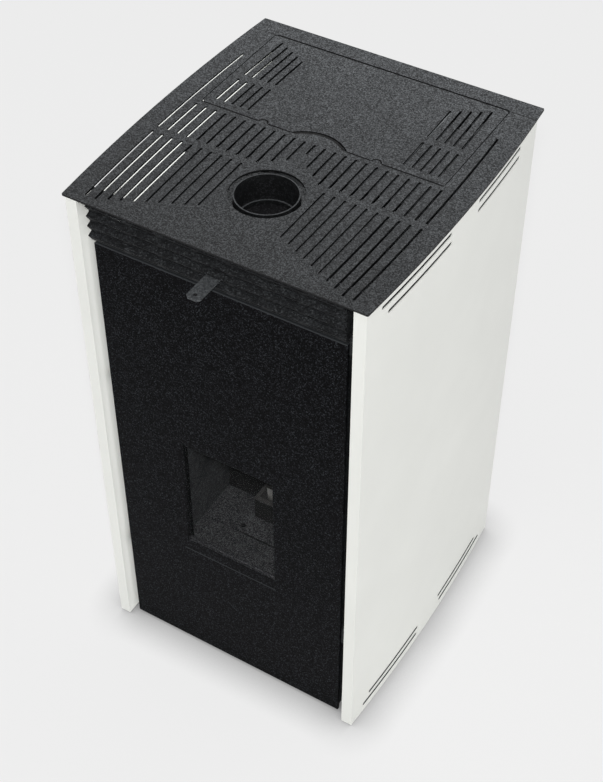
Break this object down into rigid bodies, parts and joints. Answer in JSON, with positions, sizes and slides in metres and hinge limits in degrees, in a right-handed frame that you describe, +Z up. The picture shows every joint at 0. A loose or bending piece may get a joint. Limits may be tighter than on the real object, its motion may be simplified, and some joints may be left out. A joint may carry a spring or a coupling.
{
  "type": "pellet stove",
  "caption": "Freestanding pellet stove: bowed white sides, slotted grey top plate with open flue collar and flush hopper lid, full black glass door with a fire window, louvre and damper tab.",
  "frame": {"origin": "on the floor, midway across the width and midway between the tip of the damper tab and the end of the air spigot, which is also midway along the top plate", "axes": "+Z up, -Y out of the door, +X to the hinge side of the door"},
  "size_m": [0.5378, 0.654, 1],
  "materials": {
    "charcoal_powder_coat": "granular matt powder coat",
    "white_enamel": "smooth satin enamel",
    "black_stove_paint": "matt heat-proof paint",
    "galvanised_sheet": "spangled zinc",
    "bright_steel": "bright rolled steel",
    "cast_iron": "as cast, sooted",
    "fire_board": "pressed fire board, smoked",
    "igniter_ceramic": "fired ceramic",
    "black_glass": "printed black, satin",
    "clear_pane": "clear heat-proof",
    "seal_rope": "woven glass rope",
    "gasket_rubber": "silicone foam",
    "motor_paint": "grey motor enamel",
    "black_plastic": "fine textured",
    "grey_plastic": "moulded box"
  },
  "bodies": {
    "stove": {"base_plate": "galvanised_sheet", "levelling_feet": "bright_steel", "side_panel_right": "white_enamel", "side_panel_left": "white_enamel", "rear_panel": "charcoal_powder_coat", "socket_plate": "charcoal_powder_coat", "top_plate": "charcoal_powder_coat", "lid_hinge_brackets": "galvanised_sheet", "front_mask": "black_stove_paint", "louvre_grille": "black_stove_paint", "inner_casing_right": "galvanised_sheet", "inner_casing_left": "galvanised_sheet", "front_deck": "charcoal_powder_coat", "hopper_deck": "charcoal_powder_coat", "lid_gasket": "gasket_rubber", "hopper": "galvanised_sheet", "auger_tube": "bright_steel", "auger_gearmotor": "motor_paint", "pellet_chute": "bright_steel", "hopper_heat_shield": "galvanised_sheet", "firebox": "black_stove_paint", "lining_right": "fire_board", "lining_left": "fire_board", "lining_rear": "fire_board", "firebox_floor": "cast_iron", "baffle": "fire_board", "burn_pot_holder": "cast_iron", "burn_pot": "bright_steel", "igniter": "igniter_ceramic", "smoke_box": "black_stove_paint", "convection_fins": "black_stove_paint", "flue_collar": "black_stove_paint", "damper_guide": "galvanised_sheet", "ash_bay": "galvanised_sheet", "ash_drawer": "galvanised_sheet", "blower_housing": "galvanised_sheet", "blower_motor": "motor_paint", "blower_stand": "galvanised_sheet", "intake_duct": "galvanised_sheet", "intake_spigot": "galvanised_sheet", "control_box": "grey_plastic", "power_inlet": "black_plastic", "switch_housing": "black_plastic", "overheat_reset": "black_plastic", "door_hinge_brackets": "black_stove_paint", "catch_strikers": "black_stove_paint"},
    "door": {"door_glass": "black_glass", "door_frame": "black_stove_paint", "door_seal": "seal_rope", "window_pane": "clear_pane", "window_retainer": "black_stove_paint", "door_knuckles": "black_stove_paint", "door_catches": "black_stove_paint"},
    "lid": {"hopper_lid": "charcoal_powder_coat", "lid_pan": "galvanised_sheet", "lid_ears": "bright_steel"},
    "damper": {"damper_slide": "charcoal_powder_coat"},
    "feed_screw": {"auger": "bright_steel"},
    "fan": {"blower_wheel": "bright_steel"},
    "rocker": {"switch_rocker": "black_plastic"}
  },
  "joints": [
    {"name": "door_swing", "type": "hinge", "parent": "stove", "child": "door", "pos_m": [0.2265, -0.2615, 0.57], "axis": [0, 0, 1], "range_deg": [0, 95]},
    {"name": "lid_tilt", "type": "hinge", "parent": "stove", "child": "lid", "pos_m": [0, 0.236, 0.992], "axis": [-1, 0, 0], "range_deg": [0, 80]},
    {"name": "damper_pull", "type": "slide", "parent": "stove", "child": "damper", "axis": [0, -1, 0], "range_m": [0, 0.08]},
    {"name": "auger_turn", "type": "hinge", "parent": "stove", "child": "feed_screw", "pos_m": [0, 0.159, 0.36], "axis": [0, -0.7071, 0.7071], "continuous": true},
    {"name": "fan_turn", "type": "hinge", "parent": "stove", "child": "fan", "pos_m": [0, 0.059, 0.228], "axis": [1, 0, 0], "continuous": true},
    {"name": "switch_rock", "type": "hinge", "parent": "stove", "child": "rocker", "pos_m": [0.206, 0.269, 0.15], "axis": [1, 0, 0], "range_deg": [0, 16]}
  ]
}
